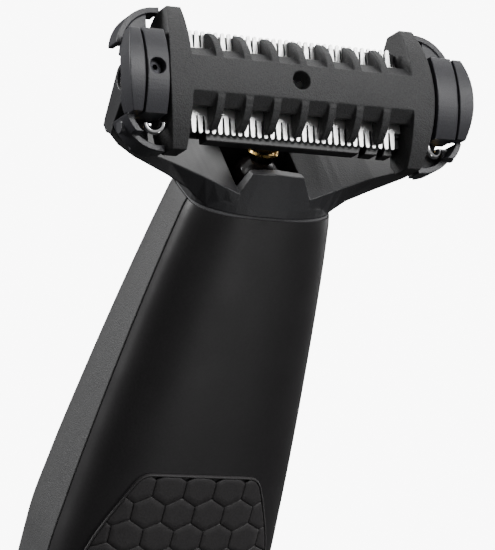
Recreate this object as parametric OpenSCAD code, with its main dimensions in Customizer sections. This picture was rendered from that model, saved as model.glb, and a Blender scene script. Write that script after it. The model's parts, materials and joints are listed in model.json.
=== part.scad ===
// Cordless body groomer: waisted handle, forked neck, tilting two-edged cutter head and clip-on comb guard.
// Millimetres. +Z runs up the handle, the front faces -Y.
// The origin is on the flat base, under the pivot axis.

/* [Handle] */
// Height of the joint between handle and neck above the base
neck_z = 129; // [125:1:135]
// Half width of the handle at the neck joint
neck_half_w = 11.7; // [11.5:0.1:12]
// Half width of the handle at its widest, in the grip
grip_half_w = 18.5; // [18:0.1:19]
// Wall thickness of both shells
wall = 1.8; // [1.6:0.1:2]
// Thickness of the rubber grip pad over the front panel
pad_t = 0.8; // [0.6:0.1:1]

/* [Neck] */
// Height of the head's tilt axis above the neck joint
pivot_rise = 17.7; // [17.7:0.1:19]
// Half width over the two yoke arms
yoke_half_w = 26.5; // [26.4:0.1:27]
// Radius of each pivot pin
pivot_pin_r = 1.5; // [1.2:0.1:1.6]

/* [Head] */
// Angle that the head leans back from upright, at rest
head_pitch = 41; // [38:1:44]
// Distance between the two end walls of the comb guard
guard_inner_w = 36; // [36:1:36]
// Number of windows in each row of the comb guard
window_count = 8; // [6:1:8]
// Radius of the comb guard's curved face
guard_face_r = 19; // [18.5:0.5:19.5]
// Pitch of the cutting teeth
tooth_pitch = 1.05; // [1:0.05:1.2]
// Half the distance between the upper and the lower tooth tips
tooth_tip_z = 7.7; // [7.6:0.1:7.8]

/* [Drive] */
// Distance of the drive axis behind the tilt axis
drive_y = 2; // [1.9:0.1:2.1]
// Radius of the motor can
motor_r = 6.2; // [6:0.1:6.2]
// Stroke of the moving blade to each side
stroke = 0.8; // [0.4:0.1:0.8]

/* [Hidden] */

$fn = 48;
pivot_z = neck_z + pivot_rise;
eps = 0.01;

// ---- handle outline: [height, half width, front depth, rear depth, front squareness, rear squareness]
seam_y = -0.6;
belly_z = 67;
handle_rings = [
    [0, grip_half_w - 3.2, 6.6, 12.4, 2.8, 4],
    [1.2, grip_half_w - 2.5, 7.4, 13.4, 2.8, 4],
    [4, grip_half_w - 2.2, 7.8, 14, 2.8, 4],
    [25, grip_half_w - 1.1, 8.2, 15.2, 3, 4.2],
    [45, grip_half_w - 0.2, 8.3, 16.4, 3, 4.5],
    [belly_z, grip_half_w, 8.2, 16.8, 3, 4.5],
    [78, 17.8, 8, 15.9, 2.9, 4.5],
    [92, 16.5, 7.7, 14.2, 2.8, 4.5],
    [108, 14.7, 7.2, 12.2, 2.7, 4.5],
    [120, 13.1, 6.8, 10.7, 2.7, 4.5],
    [neck_z, neck_half_w, 6.5, 9.6, 2.6, 4.5]];
ring_sides = 40;

function power(v, m) = sign(v) * pow(abs(v), 2 / m);
// One closed ring of a handle section, shrunk inwards by inset.
function section(r, inset) = [for (i = [0 : ring_sides - 1])
    let (a = 360 * i / ring_sides, front = sin(a) < 0,
         depth = (front ? r[2] + seam_y : r[3] - seam_y) - inset, m = front ? r[4] : r[5])
    [(r[1] - inset) * power(cos(a), m), seam_y + depth * power(sin(a), m), r[0]]];
// Section values at any height, by straight interpolation between the two nearest rings.
function ring_at(z) = let (
    i = max([for (k = [0 : len(handle_rings) - 2]) handle_rings[k][0] <= z ? k : 0]),
    a = handle_rings[i], b = handle_rings[i + 1], t = (z - a[0]) / (b[0] - a[0]))
    [for (k = [0 : 5]) a[k] + (b[k] - a[k]) * t];
function rings_between(z0, z1) = concat([ring_at(z0)],
    [for (r = handle_rings) if (r[0] > z0 + eps && r[0] < z1 - eps) r], [ring_at(z1)]);

// A closed skin through a list of rings that all have the same number of points.
module loft(rings) {
    n = len(rings[0]);
    last = len(rings) - 1;
    polyhedron(
        points = [for (r = rings) for (p = r) p],
        faces = concat(
            [[for (i = [0 : n - 1]) i]],
            [[for (i = [n - 1 : -1 : 0]) last * n + i]],
            [for (k = [0 : last - 1]) for (i = [0 : n - 1])
                [k * n + i, (k + 1) * n + i, k * n + (i + 1) % n]],
            [for (k = [0 : last - 1]) for (i = [0 : n - 1])
                [(k + 1) * n + i, (k + 1) * n + (i + 1) % n, k * n + (i + 1) % n]]));
}
module handle_solid(z0, z1, inset) {
    loft([for (r = rings_between(z0, z1)) section(r, inset)]);
}

// 2-D shape (Y, Z) swept along X from x0 to x1.
module along_x(x0, x1) {
    translate([x0, 0, 0]) rotate([90, 0, 90]) linear_extrude(x1 - x0) children();
}
// 2-D shape (X, Z) swept along Y from y0 to y1.
module along_y(y0, y1) {
    translate([0, y1, 0]) rotate([90, 0, 0]) linear_extrude(y1 - y0) children();
}
// Cylinder along X or Y through a point.
module rod_x(x0, x1, y, z, r) {
    translate([x0, y, z]) rotate([0, 90, 0]) cylinder(r = r, h = x1 - x0);
}
module rod_y(y0, y1, x, z, r) {
    translate([x, y0, z]) rotate([-90, 0, 0]) cylinder(r = r, h = y1 - y0);
}
module both_sides() {
    children();
    mirror([1, 0, 0]) children();
}
// Children are drawn in the head's own frame: pivot at the origin, cutting face towards -Y.
module in_head() {
    translate([0, 0, pivot_z]) rotate([-head_pitch, 0, 0]) children();
}

// ---- handle
base_h = 4;
shell_gap = 0.1;
boss_x = 10;
boss_y = 6;
screw_r = 1.2;
screw_head_r = 2.2;
button_z = 40;
button_r = 4.5;
lens_z = 28;
lens_r = 1;
big = 60;

neck_plate_t = 1.6;
module neck_opening() {
    translate([0, 0, neck_z - 3]) linear_extrude(5)
        polygon([for (p = section(ring_at(neck_z), 3)) [p[0], p[1]]]);
}
module shell_half(y0, y1) {
    intersection() {
        difference() {
            handle_solid(base_h, neck_z, 0);
            handle_solid(base_h - 1, neck_z - neck_plate_t, wall);
            neck_opening();
        }
        translate([-big / 2, y0, 0]) cube([big, y1 - y0, 2 * big + 20]);
    }
}

module rear_shell() {
    color("dimgray") {
        shell_half(seam_y + shell_gap / 2, big);
        both_sides() difference() {
            union() {
                translate([boss_x, boss_y, base_h + 2.2]) cylinder(r = 2.6, h = 9);
                translate([boss_x, boss_y - 0.8, base_h + 2.2]) cube([4.6, 1.6, 9]);
            }
            translate([boss_x, boss_y, base_h]) cylinder(r = screw_r, h = 9);
        }
    }
}

module front_panel() {
    color([0.09, 0.09, 0.1]) difference() {
        shell_half(-big, seam_y - shell_gap / 2);
        rod_y(-big / 2, 0, 0, button_z, button_r + 0.9);
        rod_y(-big / 2, 0, 0, lens_z, lens_r);
    }
}

pad_outline = [[-8.1, 86.1], [8.1, 86.1], [9.8, 85.4], [11, 83.5], [15.2, 73], [16, 66], [16, 24], [15, 19.5],
    [11.5, 16.5], [-11.5, 16.5], [-15, 19.5], [-16, 24], [-16, 66], [-15.2, 73], [-11, 83.5], [-9.8, 85.4]];
module grip_pad() {
    color([0.12, 0.12, 0.12]) difference() {
        intersection() {
            handle_solid(base_h + 4, belly_z + 24, -pad_t);
            along_y(-big / 2, 0) polygon(pad_outline);
        }
        handle_solid(base_h + 2, belly_z + 30, 0);
        rod_y(-big / 2, 0, 0, button_z, button_r + 0.9);
        rod_y(-big / 2, 0, 0, lens_z, lens_r);
    }
}

socket_y = 6.4;
socket_r = 3.6;
plug_r = 1.8;
plug_depth = 11;
module base_cap() {
    color([0.16, 0.16, 0.17]) difference() {
        union() {
            handle_solid(0, base_h, 0);
            handle_solid(base_h - eps, base_h + 2, wall + shell_gap);
        }
        translate([0, socket_y, -1]) cylinder(r = socket_r, h = 20);
        both_sides() {
            translate([boss_x, boss_y, -1]) cylinder(r = screw_head_r, h = 3);
            translate([boss_x, boss_y, -1]) cylinder(r = screw_r, h = 20);
        }
    }
}

module charging_socket() {
    color([0.05, 0.05, 0.05]) difference() {
        translate([0, socket_y, 0]) cylinder(r = socket_r, h = plug_depth + 2);
        translate([0, socket_y, -1]) cylinder(r = plug_r, h = plug_depth + 1);
    }
}

module shell_screws() {
    color("silver") both_sides() difference() {
        union() {
            translate([boss_x, boss_y, 0.5]) cylinder(r = screw_head_r, h = 1.5);
            translate([boss_x, boss_y, 1.9]) cylinder(r = screw_r, h = 10);
        }
        translate([boss_x, boss_y, 0.4]) linear_extrude(0.9) {
            square([2.6, 0.6], center = true);
            square([0.6, 2.6], center = true);
        }
    }
}

// ---- inside the handle
battery_r = 7;
battery_y = 5.4;
battery_z = 15.5;
battery_h = 50;
module battery() {
    color([0.2, 0.45, 0.3]) translate([0, battery_y, battery_z]) {
        cylinder(r = battery_r, h = battery_h - 1);
        cylinder(r = 3, h = battery_h);
    }
}
module battery_tabs() {
    color("silver") {
        translate([-2.5, -2.9, battery_z - 0.4]) cube([5, battery_y + 2.9, 0.4]);
        translate([-2.5, -2.9, battery_z + battery_h]) cube([5, battery_y + 2.9, 0.4]);
    }
}
board_y = -4.2;
board_t = 1.2;
module circuit_board() {
    color("darkgreen") {
        translate([-9, board_y, 18]) cube([18, board_t, 56]);
        translate([-6, board_y + board_t, 68]) cube([7, 1.3, 4.5]);
        translate([2.5, board_y - 0.9, 56]) cube([4, 0.9, 4]);
        translate([-6.5, board_y - 0.9, 58]) cube([5, 0.9, 5]);
    }
}
module tact_switch() {
    color([0.1, 0.1, 0.1]) {
        translate([-3, board_y - 0.6, button_z - 3]) cube([6, 0.6, 6]);
        rod_y(board_y - 0.9, board_y - 0.5, 0, button_z, 1.6);
    }
}
button_front_y = -9.6;
button_travel = 0.6;
module power_button() {
    color([0.2, 0.2, 0.21]) {
        rod_y(button_front_y, -6.3, 0, button_z, button_r);
        rod_y(-6.4, board_y - 0.9 - button_travel, 0, button_z, 2.2);
    }
}
module button_seal() {
    color([0.05, 0.05, 0.05]) difference() {
        rod_y(-8.8, -6.8, 0, button_z, button_r + 0.9);
        rod_y(-9, -6.6, 0, button_z, button_r + 0.2);
    }
}
module charge_lens() {
    color([0.8, 0.9, 0.85]) rod_y(-9, -6.2, 0, lens_z, lens_r);
}

// ---- drive train
motor_z = 76;
motor_h = 26;
shaft_r = 1;
lever_pivot_z = 121;
lever_tip_z = pivot_z - 2;
ecc_r = stroke * 0.45;
crank_z = 103.6;
module motor() {
    color("silver") difference() {
        union() {
            translate([0, drive_y, motor_z]) cylinder(r = motor_r, h = motor_h);
            translate([0, drive_y, motor_z + motor_h - eps]) cylinder(r = 2.6, h = 1.2);
            translate([0, drive_y, motor_z - 1]) cylinder(r = 2.6, h = 1.2);
        }
        translate([0, drive_y, motor_z + 4]) cylinder(r = shaft_r + 0.05, h = motor_h);
    }
}
module drive_frame() {
    color("gainsboro") difference() {
        union() {
            translate([0, drive_y, 90]) cylinder(r = motor_r + 0.9, h = 13.4);
            translate([-4, 6.2, 96]) cube([8, 1.3, 30.5]);
            rod_y(4, 6.4, 0, lever_pivot_z, 2.8);
        }
        translate([0, drive_y, 89]) cylinder(r = motor_r + 0.02, h = 13.02);
        translate([0, drive_y, 100]) cylinder(r = 3.4, h = 5);
        rod_y(0, 12, 0, lever_pivot_z, shaft_r);
    }
}
module lever_pin() {
    color("silver") rod_y(0.2, 7.4, 0, lever_pivot_z, shaft_r);
}
module motor_shaft() {
    color("silver") translate([0, drive_y, motor_z + 5])
        cylinder(r = shaft_r, h = crank_z + 2.6 - motor_z - 5);
}
module eccentric() {
    color("white") difference() {
        union() {
            translate([0, drive_y, crank_z]) cylinder(r = 3, h = 3);
            translate([ecc_r, drive_y, crank_z + 3 - eps]) cylinder(r = 0.7, h = 3.6);
        }
        translate([0, drive_y, crank_z - 1]) cylinder(r = shaft_r, h = 3.6);
    }
}
module drive_lever() {
    slot_half = 0.7 + 2 * ecc_r + 0.15;
    color([0.85, 0.85, 0.82]) difference() {
        union() {
            translate([0, drive_y, 111]) cylinder(r = 0.9, h = lever_tip_z - 111);
            translate([0, drive_y, lever_tip_z]) sphere(r = 1.3);
            rod_y(drive_y - 1.4, drive_y + 1.4, 0, lever_pivot_z, 2.6);
            translate([-3, drive_y - 1.4, 107.4]) cube([6, 2.8, 5]);
        }
        translate([-slot_half, drive_y - 2, 107]) cube([2 * slot_half, 4, 4]);
        rod_y(0, 8, 0, lever_pivot_z, 1.05);
    }
}
coil_r = 2;
coil_wire = 0.32;
coil_z = 135.7;
coil_rise = 0.95;
coil_turns = 3;
function coil_ring(a) = [for (k = [0 : 5]) let (b = -60 * k, r = coil_r + coil_wire * cos(b))
    [r * cos(a), drive_y + r * sin(a), coil_z + coil_rise * a / 360 + coil_wire * sin(b)]];
module drive_spring() {
    color("gold") {
        loft([for (a = [0 : 22.5 : 360 * coil_turns]) coil_ring(a)]);
        translate([0, drive_y, coil_z + coil_turns * coil_rise]) difference() {
            cylinder(r = coil_r + 0.2, h = 0.7);
            translate([0, 0, -1]) cylinder(r = 0.9, h = 3);
        }
    }
}
boot_r = 3.8;
boot_z = 131.6;
module drive_boot() {
    color([0.04, 0.04, 0.04]) translate([0, drive_y, 0]) rotate_extrude() difference() {
        union() {
            intersection() {
                translate([0, boot_z]) circle(r = boot_r);
                translate([0, boot_z]) square([10, 10]);
            }
            translate([0, yoke_z + 0.6]) square([boot_r, boot_z - yoke_z - 0.6]);
        }
        intersection() {
            translate([0, boot_z]) circle(r = boot_r - 0.8);
            translate([0, boot_z - eps]) square([10, 10]);
        }
        translate([0, yoke_z]) square([boot_r - 0.8, boot_z - yoke_z]);
        translate([0, 120]) square([1.7, 20]);
    }
}

// ---- neck and yoke
seal_t = 0.4;
yoke_z = neck_z + seal_t;
module neck_seal() {
    color([0.5, 0.5, 0.52]) difference() {
        translate([0, 0, neck_z]) linear_extrude(seal_t)
            polygon([for (p = section(ring_at(neck_z), 0.3)) [p[0], p[1]]]);
        neck_opening();
    }
}
// Each wing section: [x, front y, bottom z, front top z, rear y, rear top z, front y at the bottom]
wing_rings = [
    [5.8, -5.5, yoke_z + 0.2, 132.5, 6.6, 135.7, -5.8],
    [8, -5, yoke_z + 0.2, 133.2, 6.5, 136.2, -5],
    [10, -4.5, yoke_z + 0.3, 133.8, 6.3, 136.7, -4.1],
    [11.4, -4.15, yoke_z + 0.9, 134.2, 6.2, 136.9, -3.4],
    [13, -3.75, 131.6, 134.6, 6, 137.1, -3.2],
    [16.8, -2.8, 133.4, 135.6, 5.4, 137.6, -2.8],
    [22.3, -1.7, 135.4, 136.8, 3.9, 138, -1.7],
    [25, -1.4, 136.9, 138.1, 2.7, 139, -1.4],
    [yoke_half_w, -1.3, 138.3, 139.6, 2.1, 140.2, -1.3]];
module wing() {
    loft([for (w = wing_rings)
        [[w[0], w[6], w[2]], [w[0], w[4], w[2]], [w[0], w[4], w[5]], [w[0], w[1], w[3]]]]);
}
eye_r = 2.3;
post_x = 24.7;
module arm_post() {
    hull() {
        rod_x(post_x, yoke_half_w, 0, pivot_z, eye_r);
        rod_x(post_x, yoke_half_w, 0.6, 139.6, 1.7);
    }
}
function collar_ring(z, w, f, r) = section([z, w, f, r, 2.3, 4], 0);
module collar(top_z, top_half_w, top_front, top_rear) {
    loft([collar_ring(yoke_z, neck_half_w, 6.5, 9.6), collar_ring(yoke_z + 1.4, neck_half_w, 6.3, 9.2),
        collar_ring(top_z, top_half_w, top_front, top_rear)]);
}
module head_yoke() {
    color("gray") difference() {
        union() {
            collar(yoke_z + 2.3, neck_half_w - 0.5, 6.1, 8.6);
            both_sides() {
                wing();
                arm_post();
            }
            intersection() {
                collar(yoke_z + 7, neck_half_w - 3.4, 5.1, 6);
                along_y(-8, -3.3) polygon([[-5.9, 131], [-5.9, 132.3], [-4.2, 135.7], [0, 136], [4.2, 135.7],
                    [5.9, 132.3], [5.9, 131]]);
            }
            along_y(6, 7.1) polygon([[-7, 131], [-7, 136.6], [-5.6, 138], [5.6, 138], [7, 136.6], [7, 131]]);
        }
        translate([-5.8, -3.4, yoke_z + 0.6]) cube([11.6, 9.4, 20]);
        translate([0, drive_y, yoke_z - 2]) cylinder(r = 3.4, h = 10);
        both_sides() rod_x(20, 30, 0, pivot_z, pivot_pin_r);
    }
}
module pivot_pins() {
    color("silver") both_sides() rod_x(22.3, yoke_half_w - 0.4, 0, pivot_z, pivot_pin_r);
}

// ---- cutter head, drawn in the head frame
guard_half = guard_inner_w / 2;
housing_half = guard_half - 0.2;
cap_x = guard_half + 3.9;
back_y = 2.4;
blade_y = -2;
blade_t = 0.35;
rail_y = blade_y + 2 * blade_t + 0.1;
rail_z = tooth_tip_z - 0.3;
lip_low = -8.5;
module head_housing() {
    color([0.1, 0.1, 0.11]) in_head() difference() {
        union() {
            along_x(-housing_half, housing_half)
                translate([rail_y, -rail_z]) square([back_y - rail_y + eps, 2 * rail_z]);
            both_sides() along_x(housing_half - 0.7, housing_half)
                translate([rail_y - 0.44, -5.8]) square([1, 11.6]);
            along_x(-cap_x, cap_x) translate([back_y, -5.2]) square([1.4, 10.4]);
            along_x(-14, 16.6) translate([rail_y + 0.2, lip_low]) square([2.4, -lip_low - rail_z + 0.2]);
        }
        along_x(-housing_half + 0.7, housing_half - 0.7) translate([-3, -rail_z + 1.2])
            square([back_y + 3, 2 * rail_z - 2.4]);
        along_x(-6.2, 6.2) translate([0, -4.6]) square([6, 9.2]);
        for (x = [11, 14]) along_y(-3, 2)
            polygon([[x, lip_low - 0.1], [x + 0.9, lip_low - 0.1],
                [x + 1.9, 1 - rail_z], [x + 0.9, 1 - rail_z]]);
        along_x(-16.2, -14) translate([-3, -9]) square([5, 10 - rail_z]);
        along_x(-18, -16.8) translate([-3, -9]) square([5, 10 - rail_z]);
    }
}

cap_face_r = 13.25;
cap_front_y = -6.6;
cap_half_z = 6.3;
arch_w = 8.1;
arch_h = 10.8;
arch_x = 19.6;
arch_r = 6.5;
arch_t = 0.9;
disc_x = cap_x + 3.75;
disc_end = cap_x + 6.2;
anchor_r = 0.6;
anchor_y = -0.2;
anchor_z = -7.4;
// Curved front cover profile in (Y, Z)
module cap_profile(half_z) {
    intersection() {
        translate([cap_face_r + cap_front_y, 0]) circle(r = cap_face_r, $fn = 96);
        translate([-8, -half_z]) square([7, 2 * half_z]);
    }
}
// Rectangle with round outer corners, from x = 0 outwards
module round_box(w, h, r) {
    translate([0, -h + r]) square([w, 2 * (h - r)]);
    translate([0, -h]) square([w - r, 2 * h]);
    for (s = [-1, 1]) translate([w - r, s * (h - r)]) circle(r = r);
}
arch_gap_z = 4.9;
module arch_profile() {
    intersection() {
        translate([arch_x, 0]) difference() {
            round_box(arch_w, arch_h, arch_r);
            translate([-1, 0]) round_box(arch_w - arch_t + 1, arch_h - arch_t, arch_r - arch_t);
        }
        union() {
            translate([guard_half + 2.8, arch_gap_z]) square([20, 20]);
            translate([guard_half + 2.8, -arch_gap_z - 21.3]) square([20, 20]);
        }
    }
}
// Plate that fills the arch between two heights, with a gap beside the guard wall
module hood_plate(low_z, high_z) {
    intersection() {
        translate([arch_x, 0]) round_box(arch_w - 0.1, arch_h - 0.1, arch_r - 0.1);
        translate([cap_x + 0.9, low_z]) square([12, high_z - low_z]);
    }
}
sleeve_r = 1;
pin_x0 = cap_x + 2.3;
pin_x1 = cap_x + 4.4;
module end_cap() {
    in_head() difference() {
        union() {
            along_x(cap_x, cap_x + 3.4) cap_profile(cap_half_z);
            along_x(cap_x + 3.3, cap_x + 3.8) offset(delta = -0.8) cap_profile(cap_half_z);
            intersection() {
                along_x(disc_x, disc_end) cap_profile(cap_half_z - 0.1);
                along_y(-10, -3) translate([disc_end - 20, 0]) circle(r = 20, $fn = 96);
            }
            intersection() {
                along_x(disc_x, disc_end) cap_profile(cap_half_z - 0.6);
                along_y(-3.1, -1) translate([disc_end - 20.5, 0]) circle(r = 20, $fn = 96);
            }
            along_y(-1.4, 1.8) arch_profile();
            along_y(-3.3, -1.3) intersection() {
                arch_profile();
                translate([arch_x, -8.6]) square([arch_w, 2.5]);
            }
            along_y(0.9, 1.8) hood_plate(-arch_h, -6.2);
            along_y(-1.2, 0.4) hood_plate(arch_gap_z, arch_h);
            rod_x(cap_x + 3.2, arch_x + arch_w - 0.4, anchor_y, anchor_z, sleeve_r);
            intersection() {
                along_x(cap_x, cap_x + 2.7) translate([-1.4, -arch_h]) square([5, 2 * arch_h]);
                along_y(1.7, 2.6) translate([arch_x, 0]) round_box(arch_w, arch_h, arch_r);
                along_x(cap_x, cap_x + 2.7) for (s = [-1, 1]) translate([0, s * 8.5 - 2.6]) square([5, 5.2]);
            }
            along_x(cap_x, cap_x + 2.7) translate([-4.5, -3]) square([7, 6]);
            along_x(cap_x, cap_x + 2.7) translate([2, -6]) square([1.8, 12]);
        }
        rod_x(cap_x - 1, cap_x + 3.2, 0, 0, pivot_pin_r + 0.05);
        rod_x(cap_x + 2.6, cap_x + 8, 0, 0, eye_r + 0.9);
        rod_x(pin_x0, pin_x1, anchor_y, anchor_z, anchor_r);
    }
}
screw_x = cap_x + 1.8;
screw_z = 0.3;
module left_end_cap() {
    color([0.25, 0.25, 0.28]) difference() {
        mirror([1, 0, 0]) end_cap();
        in_head() rod_y(-8, -4.2, -screw_x, screw_z, 1.2);
        in_head() rod_y(-6, -2.2, -screw_x, screw_z, 0.6);
    }
}
module right_end_cap() {
    color([0.25, 0.25, 0.28]) end_cap();
}
module end_cap_screw() {
    color([0.1, 0.1, 0.1]) in_head() difference() {
        union() {
            rod_y(-5.4, -4.2, -screw_x, screw_z, 1.05);
            rod_y(-4.3, -2.4, -screw_x, screw_z, 0.6);
        }
        translate([-screw_x, -5.5, screw_z]) rotate([-90, 0, 0]) cylinder(r = 0.45, h = 0.8, $fn = 6);
    }
}
module return_pins() {
    color("gold") in_head() both_sides() rod_x(pin_x0, pin_x1, anchor_y, anchor_z, anchor_r);
}
module retaining_clips() {
    color("silver") in_head() both_sides()
        translate([cap_x + 0.9, -2.6, -7.1]) rotate([0, 0, 20]) rotate([90, 180, 0])
        rotate_extrude(angle = 180) translate([1.25, 0]) circle(r = 0.45, $fn = 24);
}

// A flat blade with teeth along both long edges, in the (X, Z) plane.
module blade_outline(half_w, tip_z, pitch, tooth_w, tooth_l, shift) {
    n = floor(half_w / pitch);
    round_z = tip_z - tooth_w / 2;
    root_z = tip_z - tooth_l - 0.1;
    root_w = tooth_w + 0.22;
    square([2 * half_w, 2 * (tip_z - tooth_l)], center = true);
    for (i = [-n : n - 2 * shift]) translate([(i + shift) * pitch, 0]) {
        polygon([[-tooth_w / 2, -round_z], [tooth_w / 2, -round_z],
            [root_w / 2, -root_z], [root_w / 2, root_z],
            [tooth_w / 2, round_z], [-tooth_w / 2, round_z],
            [-root_w / 2, root_z], [-root_w / 2, -root_z]]);
        for (s = [-1, 1]) translate([0, s * round_z]) circle(d = tooth_w, $fn = 16);
    }
}
module fixed_blade() {
    color([0.9, 0.9, 0.9]) in_head() along_y(blade_y, blade_y + blade_t)
        blade_outline(guard_half - 0.3, tooth_tip_z, tooth_pitch, 0.56, 2.6, 0.5);
}
module moving_blade() {
    color("silver") in_head() along_y(blade_y + blade_t + 0.02, rail_y - 0.06)
        blade_outline(guard_half - 2.6, tooth_tip_z - 0.45, tooth_pitch, 0.34, 2.4, 0.5);
}
module blade_carrier() {
    color([0.15, 0.15, 0.16]) in_head() {
        along_x(-14.5, 14.5) translate([rail_y - 0.06, -5.2]) square([2.1, 10.4]);
        both_sides() along_x(1.4, 2.6) translate([0.6, -3.4]) square([4.6, 6.4]);
        both_sides() along_x(8, 12) translate([0.6, -2]) square([1.3, 4]);
    }
}

bar_half = 2.6;
lip_z = 4.3;
rib_tip_z = 7.2;
rib_w = 1.25;
wall_tip_z = 10.7;
bar_hole_r = 1.4;
bar_hole_x = -0.6;
guard_front_y = -6.2;
module guard_face() {
    translate([guard_face_r + guard_front_y, 0]) circle(r = guard_face_r, $fn = 120);
}
module bar_profile() {
    intersection() {
        guard_face();
        polygon([[-8, -bar_half], [-6, -bar_half], [-4.2, -lip_z], [-3.6, -lip_z], [-3.6, lip_z],
            [-4.2, lip_z], [-6, bar_half], [-8, bar_half]]);
    }
}
rib_back_y = blade_y - 0.15;
// Crescent that meets the blade at both tips: [Y, Z] up one side
rib_curve = [[rib_back_y, rib_tip_z], [-2.7, rib_tip_z], [-3.5, 6.7], [-4.3, 6], [-5, 5.1], [-5.5, 4.2],
    [-5.85, 3.3], [-6, 2.4]];
module rib_profile() {
    polygon(concat(rib_curve, [for (k = [len(rib_curve) - 1 : -1 : 0]) [rib_curve[k][0], -rib_curve[k][1]]]));
}
module wall_profile() {
    intersection() {
        guard_face();
        polygon([[-8, -wall_tip_z], [0.8, -wall_tip_z], [2.2, -wall_tip_z + 1.6], [2.2, wall_tip_z - 1.6],
            [0.8, wall_tip_z], [-8, wall_tip_z]]);
    }
}
module comb_guard() {
    pitch = guard_inner_w / window_count;
    bulge_r = 44;
    color([0.3, 0.3, 0.31]) in_head() difference() {
        union() {
            both_sides() intersection() {
                along_x(guard_half, guard_half + 4) wall_profile();
                along_y(-8, 4) translate([guard_half + 3.6 - bulge_r, 0]) circle(r = bulge_r, $fn = 120);
            }
            along_x(-guard_half - 0.2, guard_half + 0.2) bar_profile();
            for (i = [1 : window_count - 1])
                translate([i * pitch - guard_half, 0, 0]) along_x(-rib_w / 2, rib_w / 2) rib_profile();
        }
        rod_y(-8, -2, bar_hole_x, 0.3, bar_hole_r);
    }
}

rear_shell();
front_panel();
grip_pad();
base_cap();
charging_socket();
shell_screws();
battery();
battery_tabs();
circuit_board();
tact_switch();
power_button();
button_seal();
charge_lens();
drive_frame();
motor();
motor_shaft();
eccentric();
drive_lever();
lever_pin();
drive_spring();
neck_seal();
head_yoke();
drive_boot();
pivot_pins();
head_housing();
left_end_cap();
right_end_cap();
end_cap_screw();
return_pins();
retaining_clips();
fixed_blade();
moving_blade();
blade_carrier();
comb_guard();
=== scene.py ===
"""Body groomer: the looks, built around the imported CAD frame.

Lengths are in millimetres, except the lights' places and sizes and what is named _M, which are in metres.
+Z goes up the handle and the front faces -Y.
"""
import json
import math

import bmesh
import bpy
from mathutils import Matrix, Vector

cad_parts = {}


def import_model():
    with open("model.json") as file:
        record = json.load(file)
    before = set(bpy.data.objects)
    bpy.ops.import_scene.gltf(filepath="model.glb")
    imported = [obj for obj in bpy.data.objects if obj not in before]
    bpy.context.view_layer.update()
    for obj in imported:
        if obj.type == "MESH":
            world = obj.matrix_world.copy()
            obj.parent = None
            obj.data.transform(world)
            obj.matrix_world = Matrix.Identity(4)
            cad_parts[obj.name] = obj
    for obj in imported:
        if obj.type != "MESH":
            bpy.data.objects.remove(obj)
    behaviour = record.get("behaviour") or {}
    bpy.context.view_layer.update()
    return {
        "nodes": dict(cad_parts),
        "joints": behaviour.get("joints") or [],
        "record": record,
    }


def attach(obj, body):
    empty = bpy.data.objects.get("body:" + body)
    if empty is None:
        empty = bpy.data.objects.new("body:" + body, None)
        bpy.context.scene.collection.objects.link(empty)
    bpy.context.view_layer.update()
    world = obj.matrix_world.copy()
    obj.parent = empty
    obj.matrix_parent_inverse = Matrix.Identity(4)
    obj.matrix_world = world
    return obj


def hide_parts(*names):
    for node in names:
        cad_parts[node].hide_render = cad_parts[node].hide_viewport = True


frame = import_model()
MM = 0.001
record = frame["record"]
BODY_OF = {node: body for body, nodes in record["behaviour"]["bodies"].items() for node in nodes}
SLOT_OF = {part["node"]: part["material_slot"] for part in record["subparts"]}
PIVOT_M = Vector(next(j["pos_m"] for j in frame["joints"] if j["name"] == "head_pivot"))

# ---------------------------------------------------------------- camera, light and floor
AZIMUTH, ELEVATION, ROLL = math.radians(28.5), math.radians(20), math.radians(16)
DISTANCE = 450
FILM = 36
PICTURE_TALL = 80.9
PIVOT_RIGHT_OF_CENTRE = 5.7
PIVOT_ABOVE_CENTRE = 26.6
NEAREST_M, FARTHEST_M = 0.01, 20

# Round area lights: place, size and power in watts. All of them face LIGHTS_AIM.
LIGHTS_AIM = (0, 0, 0.13)
LIGHTS = {
    "left": ((-0.85, 0.65, 0.3), 0.5, 14),
    "top": ((0.1, -0.35, 1.1), 0.4, 4),
    "on the steel": ((0.5, -0.5, 0.95), 0.5, 6),
    "mirror for the panel": ((0.35, -1.0, -0.1), 0.3, 0.9),
    "behind": ((0.6, 0.7, 0.8), 0.8, 5.5),
    "right rim": ((0.9, 0.15, 0.1), 0.3, 2.5),
}

# A direction's height goes from -1, straight down, to 1, straight up. The world brightens between these two.
SKY_SPAN = (-0.25, 0.6)
SKY_DIM, SKY_BRIGHT = 0.04, 0.5

FLOOR_SIZE_M = 8
FLOOR_GLOW = 9.0


def camera():
    """A long lens high in front and towards -X, rolled so that the handle leans and the head is up."""
    level = math.cos(ELEVATION)
    ahead = Vector((math.sin(AZIMUTH) * level, math.cos(AZIMUTH) * level, -math.sin(ELEVATION)))
    right = ahead.cross(Vector((0, 0, 1))).normalized()
    up = right.cross(ahead)
    right, up = right * math.cos(ROLL) + up * math.sin(ROLL), up * math.cos(ROLL) - right * math.sin(ROLL)
    eye = PIVOT_M - ahead * DISTANCE * MM
    middle = PIVOT_M - (right * PIVOT_RIGHT_OF_CENTRE + up * PIVOT_ABOVE_CENTRE) * MM
    ahead = (middle - eye).normalized()
    right = ahead.cross(up).normalized()
    up = right.cross(ahead)
    data = bpy.data.cameras.new("camera")
    data.sensor_width = FILM
    data.lens = FILM * DISTANCE / PICTURE_TALL
    data.clip_start, data.clip_end = NEAREST_M, FARTHEST_M
    cam = bpy.data.objects.new("camera", data)
    bpy.context.collection.objects.link(cam)
    cam.matrix_world = Matrix.Translation(eye) @ Matrix((right, up, -ahead)).transposed().to_4x4()
    bpy.context.scene.camera = cam


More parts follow.
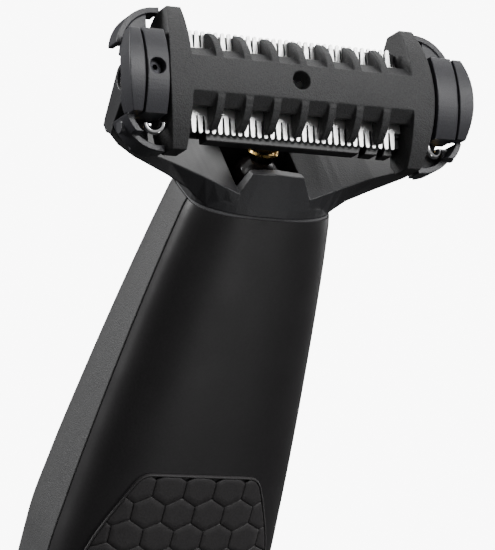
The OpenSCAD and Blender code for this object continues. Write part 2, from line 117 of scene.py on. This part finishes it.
def softbox(name, at, size, power):
    """A round area light that faces LIGHTS_AIM."""
    data = bpy.data.lights.new(name, "AREA")
    data.shape, data.size, data.energy = "DISK", size, power
    lamp = bpy.data.objects.new(name, data)
    bpy.context.collection.objects.link(lamp)
    lamp.location = at
    lamp.rotation_euler = (Vector(LIGHTS_AIM) - Vector(at)).to_track_quat("-Z", "Y").to_euler()


def world():
    """Studio white: bright overhead and dim below the horizon."""
    w = bpy.data.worlds.new("studio")
    w.use_nodes = True
    tree = w.node_tree
    place = tree.nodes.new("ShaderNodeTexCoord")
    split = tree.nodes.new("ShaderNodeSeparateXYZ")
    tree.links.new(place.outputs["Generated"], split.inputs[0])
    background = tree.nodes["Background"]
    strength = spread(tree, split.outputs["Z"], SKY_SPAN, SKY_DIM, SKY_BRIGHT)
    tree.links.new(strength, background.inputs["Strength"])
    background.inputs["Color"].default_value = (1, 1, 1, 1)
    bpy.context.scene.world = w


def pale_floor():
    """A floor that glows white for the camera, and that neither lights nor shades the object."""
    bpy.ops.mesh.primitive_plane_add(size=FLOOR_SIZE_M, location=(0, 0, 0))
    floor = bpy.context.object
    floor.name = "floor"
    pale = plastic("floor", (0.05, 0.05, 0.05), 0.9, 3, 0.0, 0.0, 0.005)
    shader = pale.node_tree.nodes["Principled BSDF"]
    shader.inputs["Emission Color"].default_value = (1, 1, 1, 1)
    shader.inputs["Emission Strength"].default_value = FLOOR_GLOW
    floor.data.materials.append(pale)
    floor.visible_diffuse = False
    floor.visible_glossy = False
    floor.visible_shadow = False


# ---------------------------------------------------------------- materials
# Most of a noise texture's values lie between these two
NOISE_SPAN = (0.3, 0.7)
# How many millimetres across the slow changes in plastic and in metal are, and metal's brush marks
PLASTIC_DRIFT, METAL_DRIFT, BRUSH_GRAIN = 7, 3, 0.3
# How far plastic's roughness goes either way
PLASTIC_SHINE = 0.04
# Metal's darkest colour, and its least and greatest roughness, as shares of what the table below says
METAL_DARK, METAL_SMOOTH, METAL_ROUGH = 0.9, 0.7, 1.3


def blank(name):
    """A new material: its node tree, its shader and its object coordinates."""
    m = bpy.data.materials.new(name)
    m.use_nodes = True
    tree = m.node_tree
    place = tree.nodes.new("ShaderNodeTexCoord").outputs["Object"]
    return m, tree, tree.nodes["Principled BSDF"], place


def noise(tree, place, grain, detail=3, stretch=(1, 1, 1)):
    """Noise whose blobs are about grain millimetres across."""
    mapping = tree.nodes.new("ShaderNodeMapping")
    mapping.inputs["Scale"].default_value = stretch
    tree.links.new(place, mapping.inputs["Vector"])
    n = tree.nodes.new("ShaderNodeTexNoise")
    n.inputs["Scale"].default_value = 1 / (grain * MM)
    n.inputs["Detail"].default_value = detail
    tree.links.new(mapping.outputs["Vector"], n.inputs["Vector"])
    return n.outputs["Fac"]


def spread(tree, value, span, low, high):
    """value, moved from its own span to low and high, and held between them."""
    r = tree.nodes.new("ShaderNodeMapRange")
    r.inputs["From Min"].default_value = span[0]
    r.inputs["From Max"].default_value = span[1]
    r.inputs["To Min"].default_value = low
    r.inputs["To Max"].default_value = high
    tree.links.new(value, r.inputs["Value"])
    return r.outputs["Result"]


def tint(tree, value, dark, light):
    """A colour between dark and light."""
    ramp = tree.nodes.new("ShaderNodeValToRGB")
    for end, place, color in zip(ramp.color_ramp.elements, NOISE_SPAN, (dark, light)):
        end.position = place
        end.color = (*color, 1)
    tree.links.new(value, ramp.inputs["Fac"])
    return ramp.outputs["Color"]


def relief(tree, shader, height, depth):
    """Bumps of a depth in millimetres."""
    bump = tree.nodes.new("ShaderNodeBump")
    bump.inputs["Distance"].default_value = depth * MM
    tree.links.new(height, bump.inputs["Height"])
    tree.links.new(bump.outputs["Normal"], shader.inputs["Normal"])


def plastic(name, color, rough, grain, depth, gloss=0.5, vary=0.12):
    """Moulded plastic or rubber: a grain that also varies the colour, and shine that drifts slowly."""
    m, tree, shader, place = blank(name)
    fine, slow = noise(tree, place, grain), noise(tree, place, PLASTIC_DRIFT, detail=2)
    dark = [c * (1 - vary) for c in color]
    light = [c * (1 + vary) for c in color]
    shine = spread(tree, slow, NOISE_SPAN, rough - PLASTIC_SHINE, rough + PLASTIC_SHINE)
    tree.links.new(tint(tree, fine, dark, light), shader.inputs["Base Color"])
    tree.links.new(shine, shader.inputs["Roughness"])
    shader.inputs["Specular IOR Level"].default_value = gloss
    relief(tree, shader, fine, depth)
    return m


def metal(name, color, rough, brush=(1, 1, 1), depth=0.004):
    """Metal with brush marks drawn out along the axis whose stretch is small."""
    m, tree, shader, place = blank(name)
    lines = noise(tree, place, BRUSH_GRAIN, detail=2, stretch=brush)
    slow = noise(tree, place, METAL_DRIFT, detail=2)
    shine = spread(tree, lines, NOISE_SPAN, rough * METAL_SMOOTH, rough * METAL_ROUGH)
    tree.links.new(tint(tree, slow, [c * METAL_DARK for c in color], color), shader.inputs["Base Color"])
    tree.links.new(shine, shader.inputs["Roughness"])
    shader.inputs["Metallic"].default_value = 1
    relief(tree, shader, lines, depth)
    return m


# For each slot of the record: the kind, the colour and the roughness. For plastic the grain's size and depth,
# the gloss and the colour's variation follow; for metal, the stretch of the brush marks and their depth.
FINISHES = {
    "shell_grey": (plastic, (0.05, 0.05, 0.051), 0.55, 0.22, 0.08, 0.45, 0.25),
    "panel_black": (plastic, (0.021, 0.02, 0.021), 0.38, 0.35, 0.006, 0.4, 0.1),
    "grip_rubber": (plastic, (0.034, 0.032, 0.033), 0.55, 0.3, 0.02, 0.35, 0.15),
    "base_plastic": (plastic, (0.045, 0.045, 0.047), 0.55, 0.3, 0.05, 0.5, 0.14),
    "socket_plastic": (plastic, (0.015, 0.015, 0.015), 0.3, 0.4, 0.004),
    "screw_steel": (metal, (0.02, 0.02, 0.022), 0.4),
    "battery_wrap": (plastic, (0.03, 0.16, 0.07), 0.3, 1.5, 0.02),
    "nickel_strip": (metal, (0.6, 0.57, 0.5), 0.35, (1, 1, 0.1)),
    "board_green": (plastic, (0.015, 0.1, 0.04), 0.35, 0.8, 0.02, 0.5, 0.35),
    "switch_black": (plastic, (0.02, 0.02, 0.02), 0.5, 0.3, 0.01),
    "button_grey": (plastic, (0.035, 0.035, 0.037), 0.45, 0.25, 0.02),
    "seal_rubber": (plastic, (0.012, 0.012, 0.012), 0.6, 0.3, 0.01),
    "lens_clear": (plastic, (0.5, 0.6, 0.55), 0.25, 0.3, 0.005),
    "frame_plastic": (plastic, (0.6, 0.6, 0.57), 0.45, 0.3, 0.02, 0.5, 0.06),
    "motor_steel": (metal, (0.5, 0.5, 0.5), 0.3, (1, 1, 0.05)),
    "shaft_steel": (metal, (0.6, 0.6, 0.6), 0.2, (1, 1, 0.1)),
    "acetal_white": (plastic, (0.55, 0.54, 0.5), 0.35, 0.3, 0.01, 0.5, 0.05),
    "lever_black": (plastic, (0.008, 0.008, 0.008), 0.22, 0.4, 0.004),
    "spring_brass": (metal, (0.5, 0.33, 0.11), 0.25),
    "neck_grey": (plastic, (0.022, 0.022, 0.024), 0.42, 0.25, 0.03, 0.45),
    "seam_grey": (plastic, (0.12, 0.12, 0.125), 0.5, 0.3, 0.01),
    "boot_black": (plastic, (0.018, 0.014, 0.014), 0.2, 0.5, 0.004, 0.6),
    "pin_steel": (metal, (0.6, 0.6, 0.6), 0.25),
    "housing_black": (plastic, (0.015, 0.015, 0.016), 0.42, 0.3, 0.02),
    "cap_grey": (plastic, (0.033, 0.033, 0.038), 0.42, 0.22, 0.03, 0.45, 0.15),
    "pin_brass": (metal, (0.6, 0.42, 0.18), 0.25),
    "clip_chrome": (metal, (0.75, 0.75, 0.76), 0.1),
    "blade_steel": (metal, (0.95, 0.95, 0.94), 0.4, (6, 1, 0.2), 0.002),
    "carrier_black": (plastic, (0.014, 0.014, 0.015), 0.5, 0.25, 0.03),
    "guard_grey": (plastic, (0.036, 0.036, 0.037), 0.55, 0.22, 0.09, 0.35, 0.3),
}
MADE = {name: make(name, *settings) for name, (make, *settings) in FINISHES.items()}

# ---------------------------------------------------------------- mesh helpers
# Edges bent by more than this stay crisp, on the CAD's own meshes and on the handle halves
SHARP, SHELL_SHARP = math.radians(32), math.radians(50)
SAME_PLACE_M = 1e-6
# How strongly each pass smooths a skin, and the share of its triangles that is kept
SKIN_SMOOTHING, SKIN_KEEP = 0.5, 0.35
# The head lies at this pitch, and its skins are made square to it
HEAD_PITCH = math.radians(41)
TO_HEAD = Matrix.Rotation(HEAD_PITCH, 4, "X") @ Matrix.Translation(-PIVOT_M)


def from_mesh(name, mesh, node):
    """An object for mesh that stands for a CAD node and rides its body."""
    obj = bpy.data.objects.new(name, mesh)
    bpy.context.collection.objects.link(obj)
    mesh.materials.clear()
    slot = SLOT_OF[node]
    mesh.materials.append(MADE[slot])
    for face in mesh.polygons:
        face.use_smooth = True
    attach(obj, BODY_OF[node])
    return obj


def build(name, verts, faces, node):
    """An object from points in millimetres."""
    mesh = bpy.data.meshes.new(name)
    mesh.from_pydata([Vector(v) * MM for v in verts], [], faces)
    bm = bmesh.new()
    bm.from_mesh(mesh)
    bmesh.ops.remove_doubles(bm, verts=bm.verts, dist=SAME_PLACE_M)
    bmesh.ops.recalc_face_normals(bm, faces=bm.faces)
    bm.to_mesh(mesh)
    bm.free()
    return from_mesh(name, mesh, node)


def rounded(node, voxel, passes, to_local):
    """The CAD shape of a node with every moulded edge rounded off, as one closed skin."""
    work = bpy.data.objects.new("work", frame["nodes"][node].data.copy())
    work.data.transform(to_local)
    bpy.context.collection.objects.link(work)
    remesh = work.modifiers.new("remesh", "REMESH")
    remesh.mode = "VOXEL"
    remesh.voxel_size = voxel * MM * 1
    smooth = work.modifiers.new("smooth", "SMOOTH")
    smooth.factor = SKIN_SMOOTHING
    smooth.iterations = passes
    thin = work.modifiers.new("thin", "DECIMATE")
    thin.ratio = SKIN_KEEP
    mesh = bpy.data.meshes.new_from_object(work.evaluated_get(bpy.context.evaluated_depsgraph_get()))
    bpy.data.objects.remove(work)
    mesh.transform(to_local.inverted())
    obj = from_mesh(node + "_skin", mesh, node)
    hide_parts(node)


def carried(node):
    """A CAD node that is shown as it is: welded, with smooth rounds and crisp edges."""
    obj = frame["nodes"][node]
    obj.data.materials.clear()
    obj.data.materials.append(MADE[SLOT_OF[node]])
    for face in obj.data.polygons:
        face.use_smooth = True
    weld = obj.modifiers.new("weld", "WELD")
    weld.merge_threshold = SAME_PLACE_M
    crisp = obj.modifiers.new("crisp", "EDGE_SPLIT")
    crisp.split_angle = SHARP


# ---------------------------------------------------------------- handle
NECK_Z, BASE_Z, SEAM_Y = 129, 4.1, -0.6
BELLY_HALF_W, NECK_HALF_W = 18.5, 11.7
# Rings up the handle: height, half width, front depth, rear depth, front and rear squareness
HANDLE_RINGS = [
    (0, BELLY_HALF_W - 3.2, 6.6, 12.4, 2.8, 4),
    (4, BELLY_HALF_W - 2.2, 7.8, 14, 2.8, 4),
    (25, BELLY_HALF_W - 1.1, 8.2, 15.2, 3, 4.2),
    (45, BELLY_HALF_W - 0.2, 8.3, 16.4, 3, 4.5),
    (67, BELLY_HALF_W, 8.2, 16.8, 3, 4.5),
    (78, 17.8, 8, 15.9, 2.9, 4.5),
    (92, 16.5, 7.7, 14.2, 2.8, 4.5),
    (108, 14.7, 7.2, 12.2, 2.7, 4.5),
    (120, 13.1, 6.8, 10.7, 2.7, 4.5),
    (NECK_Z, NECK_HALF_W, 6.5, 9.6, 2.6, 4.5),
]

# Where a quarter of the outline has its points, as shares from the seam (0) to the middle (1)
LIP_SHARES = (0, 0.002, 0.005, 0.009, 0.014, 0.02)
QUARTER = LIP_SHARES + tuple(0.03 + 0.97 * i / 36 for i in range(37))

SHELL_ROWS = 90
# The radius of the edges at the seam, half the open seam, and how far the top and bottom rows are pulled in
LIP, SEAM_GAP, END_PULL = 0.25, 0.13, 0.12
# The inside is the outside made smaller, which leaves a full wall where the half is this wide and deep
WALL, WALL_AT_HALF_W, WALL_AT_DEPTH = 1.6, 14, 9


def steepness(k, j):
    """How fast column j changes with height between ring k and the next."""
    a, b = HANDLE_RINGS[k], HANDLE_RINGS[k + 1]
    return (b[j] - a[j]) / (b[0] - a[0])


def slope(k, j):
    """Tangent of column j at ring k that never overshoots the rings, level at the lowest one."""
    if k in (0, len(HANDLE_RINGS) - 1):
        return 0 if k == 0 else steepness(k - 1, j)
    before, after = steepness(k - 1, j), steepness(k, j)
    return 0 if before * after <= 0 else 2 * before * after / (before + after)


def ring_at(z):
    """(half width, front depth, rear depth, front squareness, rear squareness) at a height."""
    k = max(i for i in range(len(HANDLE_RINGS) - 1) if HANDLE_RINGS[i][0] <= z or i == 0)
    a, b = HANDLE_RINGS[k], HANDLE_RINGS[k + 1]
    span = b[0] - a[0]
    t = (z - a[0]) / span
    values = []
    for j in range(1, 6):
        value = (2 * t**3 - 3 * t**2 + 1) * a[j] + (3 * t**2 - 2 * t**3) * b[j]
        value += span * ((t**3 - 2 * t**2 + t) * slope(k, j) + (t**3 - t**2) * slope(k + 1, j))
        values.append(value)
    return values


def half_section(z, front):
    """Points of one half of the handle's outline at a height, from the -X seam to the +X one."""
    half_w, front_d, rear_d, m_front, m_rear = ring_at(z)
    depth = front_d + SEAM_Y if front else rear_d - SEAM_Y
    m = m_front if front else m_rear
    side = -1 if front else 1
    diagonal = 0.5 ** (1 / m)
    left = []
    for share in QUARTER:
        if share < 0.5:
            across = 2 * share * diagonal
            along = (1 - across**m) ** (1 / m)
        else:
            along = 2 * (1 - share) * diagonal
            across = (1 - along**m) ** (1 / m)
        left.append((-half_w * along, SEAM_Y + side * depth * across, z))
    return left + [(-x, y, z) for x, y, z in reversed(left[:-1])]


def front_y(x, z):
    """The front panel's surface."""
    half_w, front_d, _, squareness, _ = ring_at(z)
    share = min(abs(x) / half_w, 1) ** squareness
    return SEAM_Y - (front_d + SEAM_Y) * (1 - share) ** (1 / squareness)


def half_shell(name, node, front):
    """One moulded half: a smooth outside, edges rounded in towards the seam, and a wall's thickness.

    It is plain: the CAD part's holes, bosses and ribs are not in it.
    """
    side = -1 if front else 1
    verts, faces = [], []
    for r in range(SHELL_ROWS + 1):
        z = BASE_Z + (NECK_Z - BASE_Z) * r / SHELL_ROWS
        outside = half_section(z, front)
        pull = END_PULL if r in (0, SHELL_ROWS) else 0
        for x, y, _ in outside:
            from_seam = abs(y - SEAM_Y)
            rolled, opening = 0, LIP / max(from_seam, LIP)
            if from_seam < LIP:
                rolled = LIP * (1 - math.sqrt(max(0, 1 - (1 - from_seam / LIP) ** 2)))
            verts.append((x - math.copysign(rolled + pull, x), y + side * SEAM_GAP * opening, z))
        for x, y, _ in reversed(outside):
            inner_y = SEAM_Y + (y - SEAM_Y) * (1 - WALL / WALL_AT_DEPTH) + side * SEAM_GAP
            verts.append((x * (1 - WALL / WALL_AT_HALF_W), inner_y, z))
    across = 2 * len(QUARTER) - 1
    n = 2 * across
    for r in range(SHELL_ROWS):
        for i in range(n):
            j = (i + 1) % n
            faces.append((r * n + i, r * n + j, (r + 1) * n + j, (r + 1) * n + i))
    for r in (0, SHELL_ROWS):
        for i in range(across - 1):
            faces.append((r * n + i, r * n + i + 1, r * n + n - 2 - i, r * n + n - 1 - i))
    obj = build(name, verts, faces, node)
    crisp = obj.modifiers.new("crisp", "EDGE_SPLIT")
    crisp.split_angle = SHELL_SHARP
    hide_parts(node)


# ---------------------------------------------------------------- grip pad
# Flat outlines are lists of (x, z) and heights are over the front panel's surface
PAD_OUTLINE = [(8.1, 86.1), (9.8, 85.4), (11, 83.5), (15.2, 73), (16, 66), (16, 24), (15, 19.5), (11.5, 16.5)]
PAD_OUTLINE += [(-x, z) for x, z in reversed(PAD_OUTLINE)]
HEX_ACROSS = 5.0
HEX_ANGLES = [math.radians(30 + 60 * k) for k in range(6)]
HEX_COLUMNS = range(-4, 5)
# The height of the top row of hexagons, and a distance that the rows reach down at the least
TOP_ROW_Z, ROWS_SPAN = 83.6, 76
SMALLEST_TILE_MM2 = 0.25
GROOVE = 0.18
FLOOR_H, TILE_H = 0.34, 0.54
CROWN_H = TILE_H + 0.02

# The holes for the button and the lens: height, radius, and how far from the hole a tile's centre has to be
HOLES = ((40, 5.4, 0.6), (28, 1.0, 1))
COLLAR_W = 1.3

# Profiles: how far in from the outline, or out from the hole, and the height there
RIM_PROFILE = ((0, -0.25), (0, 0.42), (0.04, 0.52), (0.1, 0.57), (0.2, 0.58), (0.28, 0.54), (0.3, FLOOR_H))
COLLAR_PROFILE = ((0, -0.25), (0, 0.45), (0.12, 0.6), (0.35, 0.66), (0.9, 0.66), (1.1, 0.6), (1.35, FLOOR_H))
TILE_PROFILE = (
    (0, FLOOR_H),
    (GROOVE / 2, FLOOR_H),
    (GROOVE / 2 + 0.03, TILE_H - 0.03),
    (GROOVE / 2 + 0.08, TILE_H),
)
# The rings on a tile's crown, as shares of its edge, and what is kept clear beyond a collar at its centre
CROWN_RINGS = (0.66, 0.33)
CENTRE_CLEAR = 0.3
# How far inside the outline the honeycomb ends
FIELD_INSET = 0.28
RIM_POINTS, COLLAR_POINTS, TILE_POINTS = 360, 72, 36
COLLAR_ANGLES = [i * math.tau / COLLAR_POINTS for i in range(COLLAR_POINTS)]
CORNER_CUTS = 3
# The step for measuring the panel's slope, and a length that counts as nothing
SLOPE_STEP, TINY = 0.05, 1e-6


def signed_area(points):
    """The area of an outline, positive when it runs counter-clockwise."""
    return sum(a[0] * b[1] - b[0] * a[1] for a, b in zip(points, points[1:] + points[:1])) / 2


def clip(points, edge_a, edge_b):
    """The part of a convex polygon that lies left of the line from edge_a to edge_b."""
    def left(p):
        return (edge_b[0] - edge_a[0]) * (p[1] - edge_a[1]) - (edge_b[1] - edge_a[1]) * (p[0] - edge_a[0])
    kept = []
    for a, b in zip(points, points[1:] + points[:1]):
        la, lb = left(a), left(b)
        if la >= 0:
            kept.append(a)
        if la * lb < 0:
            t = la / (la - lb)
            kept.append((a[0] + (b[0] - a[0]) * t, a[1] + (b[1] - a[1]) * t))
    return kept


def shrunk(points, by):
    """A convex polygon, counter-clockwise, with every side moved in."""
    result = points
    for a, b in zip(points, points[1:] + points[:1]):
        length = math.hypot(b[0] - a[0], b[1] - a[1])
        if length < TINY:
            continue
        nx, nz = -(b[1] - a[1]) / length * by, (b[0] - a[0]) / length * by
        result = clip(result, (a[0] + nx, a[1] + nz), (b[0] + nx, b[1] + nz))
        if len(result) < 3:
            return []
    return result


def around(points, count):
    """count points evenly along a closed outline."""
    pairs = list(zip(points, points[1:] + points[:1]))
    lengths = [math.dist(a, b) for a, b in pairs]
    total = sum(lengths)
    result, edge, passed = [], 0, 0
    for i in range(count):
        want = total * i / count
        while passed + lengths[edge] < want:
            passed += lengths[edge]
            edge += 1
        (ax, az), (bx, bz) = pairs[edge]
        t = (want - passed) / lengths[edge]
        result.append((ax + (bx - ax) * t, az + (bz - az) * t))
    return result


def smoothed(points, rounds):
    """Corner cutting, which turns an outline's corners into curves."""
    for _ in range(rounds):
        cut = []
        for a, b in zip(points, points[1:] + points[:1]):
            cut.append((a[0] * 0.75 + b[0] * 0.25, a[1] * 0.75 + b[1] * 0.25))
            cut.append((a[0] * 0.25 + b[0] * 0.75, a[1] * 0.25 + b[1] * 0.75))
        points = cut
    return points


def at_angles(cx, cz, radius, angles):
    """Points round a centre."""
    return [(cx + radius * math.cos(a), cz + radius * math.sin(a)) for a in angles]


def on_panel(x, z, height):
    """The point at a height over the panel's surface."""
    e = SLOPE_STEP
    slope_x = (front_y(x + e, z) - front_y(x - e, z)) / (2 * e)
    slope_z = (front_y(x, z + e) - front_y(x, z - e)) / (2 * e)
    normal = Vector((slope_x, -1, slope_z)).normalized()
    return Vector((x, front_y(x, z), z)) + normal * height


def pushed(x, z, extra):
    """Keeps a tile's point outside the collars round the button and the lens."""
    for hole_z, hole_r, _ in HOLES:
        clear = hole_r + COLLAR_W + extra
        distance = math.hypot(x, z - hole_z)
        if distance < clear:
            grow = clear / max(distance, TINY)
            x, z = x * grow, hole_z + (z - hole_z) * grow
    return x, z


def tiles(field):
    """The hexagons of the honeycomb, cut off at the field's edge and left out at the button and the lens."""
    row_pitch = HEX_ACROSS * math.sqrt(3) / 2
    corner = HEX_ACROSS / math.sqrt(3)
    for row in range(int(ROWS_SPAN / row_pitch) + 2):
        cz = TOP_ROW_Z - row * row_pitch
        for col in HEX_COLUMNS:
            cx = col * HEX_ACROSS + (HEX_ACROSS / 2 if row % 2 else 0)
            if any(math.hypot(cx, cz - hole_z) < hole_r + beyond for hole_z, hole_r, beyond in HOLES):
                continue
            tile = at_angles(cx, cz, corner, HEX_ANGLES)
            for a, b in zip(field, field[1:] + field[:1]):
                tile = clip(tile, a, b)
                if len(tile) < 3:
                    break
            if len(tile) >= 3 and signed_area(tile) >= SMALLEST_TILE_MM2:
                yield tile


def tile_rings(tile, centre):
    """A tile's rings from the groove's floor up to its crown. A tile too small for that ends lower."""
    rings = []
    for inset, height in TILE_PROFILE:
        ring = shrunk(tile, inset) if inset else tile
        if len(ring) < 3:
            return rings
        bearings = [math.atan2(z - centre[1], x - centre[0]) for x, z in ring]
        start = bearings.index(min(bearings))
        ring = around(ring[start:] + ring[:start], TILE_POINTS)
        rings.append([on_panel(*pushed(x, z, inset), height) for x, z in ring])
    for share in CROWN_RINGS:
        inner = [(centre[0] + (x - centre[0]) * share, centre[1] + (z - centre[1]) * share) for x, z in ring]
        rings.append([on_panel(*pushed(x, z, inset), CROWN_H) for x, z in inner])
    return rings


def grip_pad():
    """Raised hexagons on a thin rubber sheet, with a rolled rim and collars round the button and lens."""
    verts, faces = [], []

    def strip(rings):
        """Joins rings of 3-D points, all equally long. Gives the number of the last ring's first point."""
        n = len(rings[0])
        first = len(verts)
        for ring in rings:
            verts.extend(ring)
        for r in range(len(rings) - 1):
            for i in range(n):
                j = (i + 1) % n
                a, b = first + r * n, first + (r + 1) * n
                faces.append((a + i, a + j, b + j, b + i))
        return first + (len(rings) - 1) * n

    outline = smoothed(PAD_OUTLINE, CORNER_CUTS)
    outline.reverse()  # to run counter-clockwise
    rim = []
    for inset, height in RIM_PROFILE:
        ring = around(shrunk(outline, inset) if inset else outline, RIM_POINTS)
        rim.append([on_panel(x, z, height) for x, z in ring])
    strip(rim)

    for hole_z, hole_r, _ in HOLES:
        collar = []
        for grow, height in COLLAR_PROFILE:
            ring = at_angles(0, hole_z, hole_r + grow, COLLAR_ANGLES)
            collar.append([on_panel(x, z, height) for x, z in ring])
        strip(collar)

    for tile in tiles(shrunk(outline, FIELD_INSET)):
        centre = (sum(p[0] for p in tile) / len(tile), sum(p[1] for p in tile) / len(tile))
        rings = tile_rings(tile, centre)
        last = strip(rings)
        middle_h = CROWN_H if len(rings) > len(TILE_PROFILE) else FLOOR_H
        middle = len(verts)
        verts.append(on_panel(*pushed(*centre, CENTRE_CLEAR), middle_h))
        faces.extend((last + i, last + (i + 1) % TILE_POINTS, middle) for i in range(TILE_POINTS))
    obj = build("grip_pad_hexagons", verts, faces, "grip_pad")
    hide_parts("grip_pad")


# ---------------------------------------------------------------- assembly
# Skins made from the CAD: voxel size, smoothing passes and the axes that the voxels follow
SKINS = {
    "comb_guard": (0.11, 3, TO_HEAD),
    "left_end_cap": (0.1, 2, TO_HEAD),
    "right_end_cap": (0.1, 2, TO_HEAD),
    "head_housing": (0.12, 1, TO_HEAD),
    "blade_carrier": (0.12, 2, TO_HEAD),
    "head_yoke": (0.11, 2, Matrix.Identity(4)),
    "base_cap": (0.25, 3, Matrix.Identity(4)),
}
REBUILT = {"rear_shell", "front_panel", "grip_pad", *SKINS}

camera()
world()
for name, (at, size, power) in LIGHTS.items():
    softbox(name, at, size, power)

half_shell("rear_shell_moulding", "rear_shell", False)
half_shell("front_panel_moulding", "front_panel", True)
grip_pad()
for node, (voxel, passes, to_local) in SKINS.items():
    rounded(node, voxel, passes, to_local)
for node in SLOT_OF:
    if node not in REBUILT:
        carried(node)
pale_floor()
